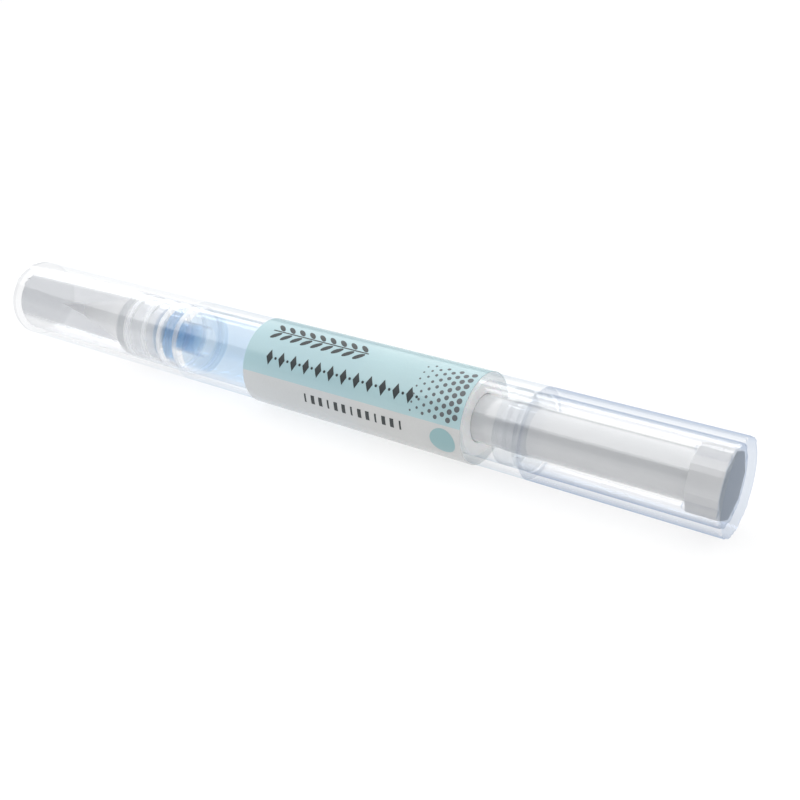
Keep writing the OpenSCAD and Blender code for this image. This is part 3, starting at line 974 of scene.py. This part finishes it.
for inner_name in ("piston", "thread_nut", "click_ring", "ratchet_wheel", "lock_ring"):
    dress(inner_name, white_pe)


# Spindle
# A rod of white polyethylene, moulded with a two-start thread of 3 mm lead and two flats. The sleeve turns it
# by its flats, the fixed nut drives it forward, and its head turns in the piston.
thread_start = 79.2
thread_end = 118.2
thread_lead = 3.0
thread_turns = 15
thread_depth = 0.35
core_radius = 1.9
flats_apart = 3.5
thread_profile = [
    (0.35, 0), (0.3, thread_depth), (0.5, 0), (0.3, -thread_depth), (0.4, 0), (0.3, thread_depth), (0.5, 0),
    (0.3, -thread_depth), (0.05, 0),
]
bpy.ops.object.select_all(action="DESELECT")
bpy.ops.mesh.primitive_plane_add(size=mm, location=on_axis(thread_start - thread_lead))
spindle_rod = bpy.context.object
spindle_rod.name = "spindle_rod"
open_mesh()
bpy.ops.mesh.merge(type="CENTER")
bpy.ops.transform.translate(value=(0, 0, core_radius * mm))
for along, out in thread_profile:
    bpy.ops.mesh.extrude_vertices_move(TRANSFORM_OT_translate={"value": (along * mm, 0, out * mm)})
bpy.ops.object.mode_set(mode="OBJECT")
thread = spindle_rod.modifiers.new("thread", "SCREW")
thread.axis = "X"
thread.screw_offset = thread_lead * mm
thread.iterations = thread_turns
thread.steps = 48
thread.render_steps = 48
thread.use_merge_vertices = True
thread.merge_threshold = merge_distance
bpy.ops.object.modifier_apply(modifier="thread")
open_mesh()
bpy.ops.mesh.remove_doubles(threshold=5 * merge_distance)
bpy.ops.mesh.fill_holes(sides=0)
bpy.ops.mesh.normals_make_consistent(inside=False)
bpy.ops.object.mode_set(mode="OBJECT")

# One block cuts both ends and both flats
bpy.ops.mesh.primitive_cube_add(size=mm, location=on_axis((thread_start + thread_end) / 2))
flat_block = bpy.context.object
flat_block.scale = (thread_end - thread_start, flats_apart, 6)
bpy.ops.object.transform_apply(location=False, rotation=False, scale=True)
flats = spindle_rod.modifiers.new("flats", "BOOLEAN")
flats.operation = "INTERSECT"
flats.solver = "EXACT"
flats.object = flat_block
bpy.context.view_layer.objects.active = spindle_rod
bpy.ops.object.modifier_apply(modifier="flats")
bpy.data.objects.remove(flat_block)

head_front = 75.75
head_radius = 1.65
spindle_neck_radius = 1.32
spindle_head = turn_piece(
    "spindle_head",
    [
        (head_front, 0), (head_front, head_radius - 0.2), (head_front + 0.2, head_radius),
        (head_front + 1.2, head_radius), (head_front + 1.2, spindle_neck_radius),
        (thread_start + 0.05, spindle_neck_radius), (thread_start + 0.05, 0),
    ],
    sides=64,
)
pick(spindle_rod, spindle_head)
bpy.ops.object.join()
smooth_piece(spindle_rod, 28)
spindle_rod.data.materials.append(white_pe)
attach(spindle_rod, "spindle")
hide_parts("spindle")


# Drive sleeve
# A long tube of grey-white polypropylene, semi-gloss from the tool. It turns the spindle and is pressed into
# the tail plug.
sleeve_front = 84.2
sleeve_rear = 121.4
sleeve_radius = 3.3
sleeve_bore_radius = 2.5
sleeve_tube = turn_piece(
    "sleeve_tube",
    [
        (sleeve_front, sleeve_bore_radius), (sleeve_front, sleeve_radius), (sleeve_rear, sleeve_radius),
        (sleeve_rear, sleeve_bore_radius),
    ],
    sides=128,
)
round_rings(sleeve_tube, [(sleeve_front, sleeve_radius), (sleeve_rear, sleeve_radius)], 0.12, 3)
smooth_piece(sleeve_tube)

# Semi-gloss grey polypropylene: an even moulded tone with soft clouds of about 2.5 mm
grey_pp = new_material("semi_gloss_grey_polypropylene")
grey_colour = clouded(grey_pp, 400, 3, "BEC0C2", "C5C7C8")
grey_shader = add_node(
    grey_pp,
    "ShaderNodeBsdfPrincipled",
    {
        "Roughness": 0.16, "IOR": 1.49, "Specular IOR Level": 1.0,
        "Coat Weight": 1.0, "Coat IOR": 1.7, "Coat Roughness": 0.08,
    },
    {"Base Color": (grey_colour, "Result")},
)
finish_material(grey_pp, grey_shader)
sleeve_tube.data.materials.append(grey_pp)
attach(sleeve_tube, "knob")
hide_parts("drive_sleeve")


# Sleeve bush
# A clear polystyrene spool with two flanges, moulded in one piece and pressed into the barrel's end. It
# guides the drive sleeve.
bush_front = 93.7
waist_front = 95.2
waist_rear = 96.6
bush_rear = 97.8
bush_radius = 5.17
waist_radius = 3.9
bush_bore_radius = 3.38
bush_spool = turn_piece(
    "bush_spool",
    [
        (bush_front, bush_bore_radius), (bush_front, bush_radius), (waist_front, bush_radius),
        (waist_front, waist_radius), (waist_rear, waist_radius), (waist_rear, bush_radius),
        (bush_rear, bush_radius), (bush_rear, bush_bore_radius),
    ],
    sides=160,
)
bush_rims = [(s, bush_radius) for s in (bush_front, waist_front, waist_rear, bush_rear)]
round_rings(bush_spool, bush_rims + [(bush_rear, bush_bore_radius)], 0.1, 3)
smooth_piece(bush_spool)

# Clear polystyrene of the bush, with a greyer painted edge shade than the barrel, so that its flanges show as
# faint shaded bars
clear_bush = clear_plastic("clear_polystyrene_bush", "F9FAFB", "D3D7DB")[0]
bush_spool.data.materials.append(clear_bush)
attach(bush_spool, "barrel")
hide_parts("sleeve_bush")
clear_pieces.objects.link(bush_spool)


# Tail plug
# An octagonal plug of satin grey polypropylene, pressed on the sleeve's end. Four ribs in the knob grip its
# flats, so that it turns with the knob.
plug_radius = 4.6
plug_length = 4.27
plug_middle = 121.135
bpy.ops.object.select_all(action="DESELECT")
bpy.ops.mesh.primitive_cylinder_add(
    vertices=8,
    radius=plug_radius * mm,
    depth=plug_length * mm,
    location=on_axis(plug_middle),
    rotation=(0, math.pi / 2, 0),
)
plug_block = bpy.context.object
plug_block.name = "plug_block"
bpy.ops.object.transform_apply(location=True, rotation=True, scale=True)
plug_edges = plug_block.modifiers.new("edges", "BEVEL")
plug_edges.width = 0.12 * mm
plug_edges.segments = 3
plug_edges.limit_method = "ANGLE"
bpy.ops.object.modifier_apply(modifier="edges")
smooth_piece(plug_block)

# Satin grey polypropylene of the plug, etched in the tool, so that its flats stay even in tone
satin_pp = new_material("satin_grey_polypropylene")
satin_colour = clouded(satin_pp, 600, 3, "C5C7C8", "CDCECF")
satin_bump = grained(satin_pp, 9000, 2, 0.25)
satin_shader = add_node(
    satin_pp,
    "ShaderNodeBsdfPrincipled",
    {"Roughness": 0.42, "IOR": 1.49},
    {"Base Color": (satin_colour, "Result"), "Normal": (satin_bump, 0)},
)
finish_material(satin_pp, satin_shader)
plug_block.data.materials.append(satin_pp)

# The plug's end face takes a darker tone of the same plastic: painted shade on the face turned from the
# lights, seen through the knob's floor
plug_end_shade = retoned(satin_pp, "grey_polypropylene_end_painted_shade", "8D9396", "989EA1")
plug_block.data.materials.append(plug_end_shade)
for face in plug_block.data.polygons:
    face.material_index = int(face.normal.x > 0.9)
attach(plug_block, "knob")
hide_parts("tail_plug")


# Knob
# The clear twist knob is a thick-walled cup, moulded in polystyrene. Four ribs inside its closed end grip the
# plug, and its mouth stands just off the barrel.
knob_mouth = 98.0
knob_floor = 123.3
knob_bore_radius = 5.25
end_ring_radius = 5.85
knob_shell = turn_piece(
    "knob_shell",
    [
        (pen_length, 0), (pen_length, end_ring_radius), (pen_length, body_radius), (knob_mouth, body_radius),
        (knob_mouth, knob_bore_radius), (knob_floor, knob_bore_radius), (knob_floor, 4.8), (knob_floor, 0),
    ],
    sides=192,
)
round_rings(knob_shell, [(pen_length, body_radius)], 0.35, 6)
round_rings(knob_shell, [(knob_mouth, body_radius), (knob_mouth, knob_bore_radius)], 0.12, 3)
round_rings(knob_shell, [(knob_floor, knob_bore_radius)], 0.4, 5)
grip_middle = 121.12
grip_size = (4.24, 0.7, 0.97)
grip_out = 4.765
grip_ribs = []
for rib_roll in (-112.5, -22.5, 67.5, 157.5):
    bpy.ops.object.select_all(action="DESELECT")
    bpy.ops.mesh.primitive_cube_add(size=mm, location=on_axis(grip_middle))
    grip_rib = bpy.context.object
    open_mesh("EDGE")
    bpy.ops.transform.resize(value=grip_size, center_override=on_axis(grip_middle))
    bpy.ops.transform.translate(value=(0, 0, grip_out * mm))
    bpy.ops.mesh.bevel(offset=0.08 * mm, segments=2, affect="EDGES")
    bpy.ops.object.mode_set(mode="OBJECT")
    grip_rib.rotation_euler = (-math.radians(rib_roll), 0, 0)
    bpy.ops.object.transform_apply(location=True, rotation=True, scale=True)
    grip_ribs.append(grip_rib)
pick(knob_shell, *grip_ribs)
bpy.ops.object.join()
smooth_piece(knob_shell)

# Clear polypropylene of the knob, with a bluer painted edge shade than the rest
clear_knob = clear_plastic("polished_clear_polystyrene", "FCFCFC", "AFC1D9")[0]
knob_shell.data.materials.append(clear_knob)
tint_rims(knob_shell, knob_mouth - 0.05, knob_mouth + 0.11)
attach(knob_shell, "knob")
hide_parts("knob")
clear_pieces.objects.link(knob_shell)


# Cap
# The clear cap is a thin-walled cup, moulded in polypropylene. It slides over the neck, where its bore grips
# the ribs, and its mouth stands just off the barrel.
cap_mouth = 38.0
cap_floor = 0.95
cap_bore_radius = 5.35
cap_shell = turn_piece(
    "cap_shell",
    [
        (0, 0), (0, end_ring_radius), (0, body_radius), (cap_mouth, body_radius),
        (cap_mouth, cap_bore_radius), (cap_floor, cap_bore_radius), (cap_floor, 4.9), (cap_floor, 0),
    ],
    sides=192,
)
round_rings(cap_shell, [(0, body_radius)], 0.35, 6)
round_rings(cap_shell, [(cap_mouth, body_radius), (cap_mouth, cap_bore_radius)], 0.12, 3)
round_rings(cap_shell, [(cap_floor, cap_bore_radius)], 0.4, 5)
smooth_piece(cap_shell)

# Clear polypropylene of the cap: colourless walls, and a greyer see-through tone on the bore that fades out
# towards the mouth, at less than half strength on the closed end
clear_cap, cap_tint, cap_see, cap_wall = clear_plastic("clear_polypropylene_cap", "FEFEFE", "F4F6F8")
cap_split, cap_radius = round_axis(clear_cap)
cap_bore = add_node(
    clear_cap,
    "ShaderNodeMath",
    {"operation": "LESS_THAN", 1: (cap_bore_radius + 0.15) * mm},
    {0: (cap_radius, "Value")},
)
cap_inside = add_node(
    clear_cap,
    "ShaderNodeMapRange",
    {"From Min": on_axis(22)[0], "From Max": on_axis(27)[0], "To Min": 1.0, "To Max": 0.25},
    {"Value": (cap_split, "X")},
)
cap_core_side = add_node(
    clear_cap, "ShaderNodeMath", {"operation": "GREATER_THAN", 1: on_axis(0.6)[0]}, {0: (cap_split, "X")}
)
cap_satin = add_node(
    clear_cap, "ShaderNodeMath", {"operation": "MULTIPLY"}, {0: (cap_bore, 0), 1: (cap_inside, 0)}
)
cap_satin_seen = add_node(
    clear_cap, "ShaderNodeMath", {"operation": "MULTIPLY"}, {0: (cap_satin, 0), 1: (cap_core_side, 0)}
)
cap_end = add_node(
    clear_cap, "ShaderNodeMath", {"operation": "LESS_THAN", 1: on_axis(cap_floor)[0]}, {0: (cap_split, "X")}
)
cap_end_share = add_node(clear_cap, "ShaderNodeMath", {"operation": "MULTIPLY", 1: 0.45}, {0: (cap_end, 0)})
cap_shade = add_node(
    clear_cap, "ShaderNodeMath", {"operation": "MAXIMUM"}, {0: (cap_satin_seen, 0), 1: (cap_end_share, 0)}
)
cap_colour = add_node(
    clear_cap,
    "ShaderNodeMix",
    {"data_type": "RGBA", "blend_type": "MULTIPLY", 7: hex_colour("E5E6E8")},
    {"Factor": (cap_shade, 0), 6: (cap_tint, "Result")},
)
clear_cap.node_tree.links.new(cap_colour.outputs["Result"], cap_see.inputs["Color"])

# Seen at a flat angle, the satin bore shines white along both sides
cap_tilt = add_node(clear_cap, "ShaderNodeLayerWeight", {"Blend": 0.5})
cap_flat = add_node(
    clear_cap,
    "ShaderNodeMapRange",
    {"From Min": 0.47, "From Max": 0.6, "To Max": 0.6},
    {"Value": (cap_tilt, "Facing")},
)
cap_sheen_share = add_node(
    clear_cap, "ShaderNodeMath", {"operation": "MULTIPLY"}, {0: (cap_flat, 0), 1: (cap_satin_seen, 0)}
)
cap_sheen = add_node(clear_cap, "ShaderNodeBsdfAnisotropic", {"Color": (1, 1, 1, 1), "Roughness": 0.45})
cap_lined = add_node(
    clear_cap, "ShaderNodeMixShader", {}, {0: (cap_sheen_share, 0), 1: (cap_wall, 0), 2: (cap_sheen, 0)}
)
finish_material(clear_cap, let_light_in(clear_cap, cap_lined, "FBFBFC", 0.8))
cap_shell.data.materials.append(clear_cap)
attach(cap_shell, "cap")
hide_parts("cap")
clear_pieces.objects.link(cap_shell)
